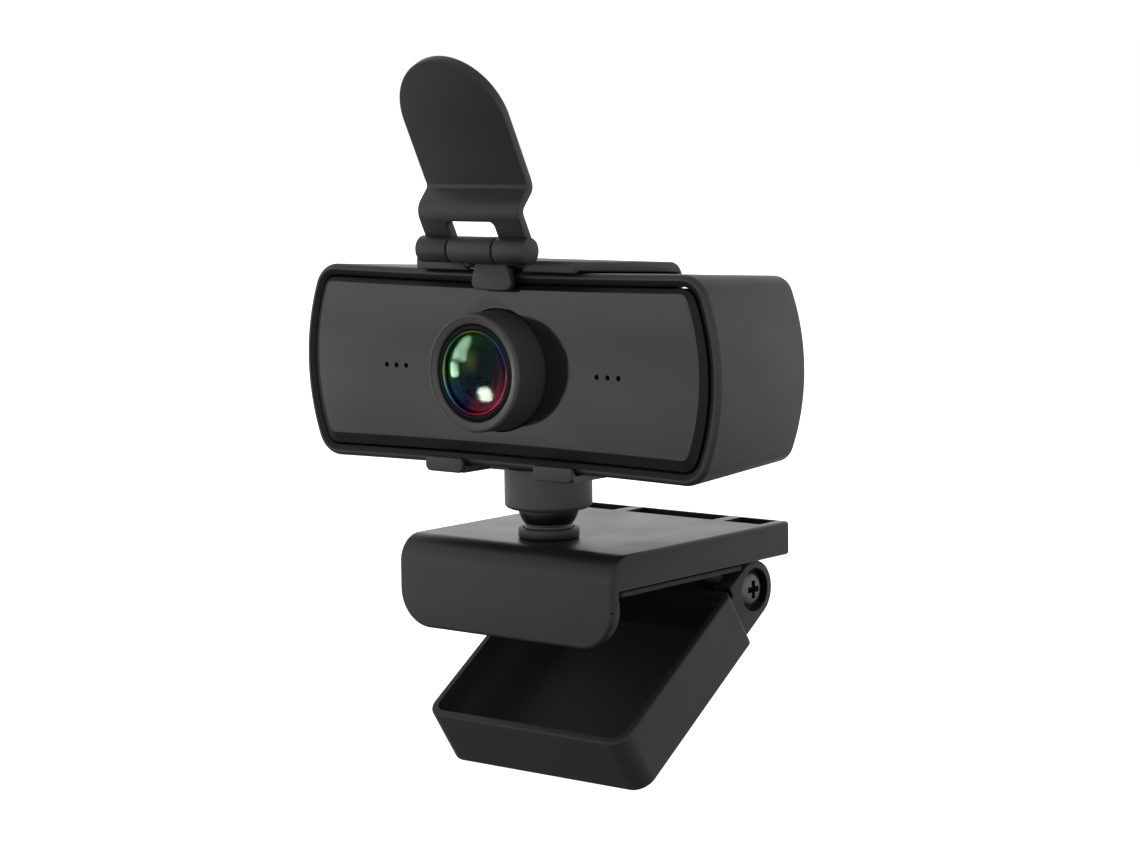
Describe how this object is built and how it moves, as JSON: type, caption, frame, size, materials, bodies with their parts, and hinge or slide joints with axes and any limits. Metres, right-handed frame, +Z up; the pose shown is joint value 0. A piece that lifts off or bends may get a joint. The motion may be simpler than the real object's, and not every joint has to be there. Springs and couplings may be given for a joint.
{
  "type": "clip-on webcam",
  "caption": "Wide webcam head with a flip-up lens cover on a ball joint, standing on a monitor clip with a folding leg.",
  "frame": {"origin": "underside of the clip's rest pad, straight under the ball joint, on the plane of symmetry", "axes": "+Z up, the lens looks along -Y, +X to the right seen from the front of the lens"},
  "size_m": [0.0808, 0.0594, 0.1102],
  "materials": {
    "shell_plastic": "fine satin grain, charcoal",
    "textured_plastic": "fine spark-eroded grain, near black",
    "bracket_plastic": "satin, near black",
    "panel_plastic": "smooth satin, charcoal",
    "black_plastic": "satin, black",
    "ball_plastic": "polished, black",
    "liner_plastic": "waxy, black",
    "pad_rubber": "soft, fine grain",
    "coated_glass": "clear, with a coloured anti-reflection coating",
    "chip_black": "moulded epoxy",
    "circuit_board": "green solder mask",
    "bright_steel": "plain zinc finish",
    "dark_screw_steel": "black nickel finish"
  },
  "bodies": {
    "clip": {"clip_plate": "textured_plastic", "rest_pad": "pad_rubber", "lip_pad": "pad_rubber", "swivel_collar": "bracket_plastic", "right_pivot_screw": "dark_screw_steel", "left_pivot_screw": "dark_screw_steel", "right_friction_washer": "bright_steel", "left_friction_washer": "bright_steel"},
    "leg": {"folding_leg": "textured_plastic"},
    "stud": {"ball_stud": "ball_plastic", "stud_washer": "bright_steel", "stud_screw": "bright_steel"},
    "liner": {"socket_liner": "liner_plastic"},
    "head": {"lower_bracket": "bracket_plastic", "top_bracket": "bracket_plastic", "cover_hinge_pin": "bright_steel", "head_shell": "shell_plastic", "front_frame": "black_plastic", "front_panel": "panel_plastic", "rear_cover": "shell_plastic", "rear_cover_screw_1": "dark_screw_steel", "rear_cover_screw_2": "dark_screw_steel", "rear_cover_screw_3": "dark_screw_steel", "rear_cover_screw_4": "dark_screw_steel", "cable_grommet": "pad_rubber", "lens_barrel": "bracket_plastic", "lens_front_ring": "black_plastic", "lens_cell": "black_plastic", "front_lens": "coated_glass", "lens_spacer": "black_plastic", "second_lens": "coated_glass", "aperture_stop": "black_plastic", "rear_lens": "coated_glass", "lens_mount": "black_plastic", "ir_filter": "coated_glass", "image_sensor": "chip_black", "main_board": "circuit_board", "image_processor": "chip_black", "clock_crystal": "bright_steel", "cable_header": "black_plastic", "right_microphone": "bright_steel", "left_microphone": "bright_steel", "right_mic_seal": "pad_rubber", "left_mic_seal": "pad_rubber", "board_screw_1": "bright_steel", "board_screw_2": "bright_steel", "board_screw_3": "bright_steel", "board_screw_4": "bright_steel"},
    "cover": {"privacy_cover": "bracket_plastic"}
  },
  "joints": [
    {"name": "leg_fold", "type": "hinge", "parent": "clip", "child": "leg", "pos_m": [0, 0.0281, -0.00405], "axis": [1, 0, 0], "range_deg": [-20, 82]},
    {"name": "swivel", "type": "hinge", "parent": "clip", "child": "stud", "pos_m": [0, 0, 0], "axis": [0, 0, 1], "continuous": true},
    {"name": "head_nod", "type": "hinge", "parent": "stud", "child": "liner", "pos_m": [0, 0, 0.0115], "axis": [1, 0, 0], "range_deg": [-20, 20]},
    {"name": "head_roll", "type": "hinge", "parent": "liner", "child": "head", "pos_m": [0, 0, 0.0115], "axis": [0, 1, 0], "range_deg": [-10, 10]},
    {"name": "cover_flip", "type": "hinge", "parent": "head", "child": "cover", "pos_m": [0, -0.0159, 0.051], "axis": [1, 0, 0], "range_deg": [-80, 153]}
  ]
}
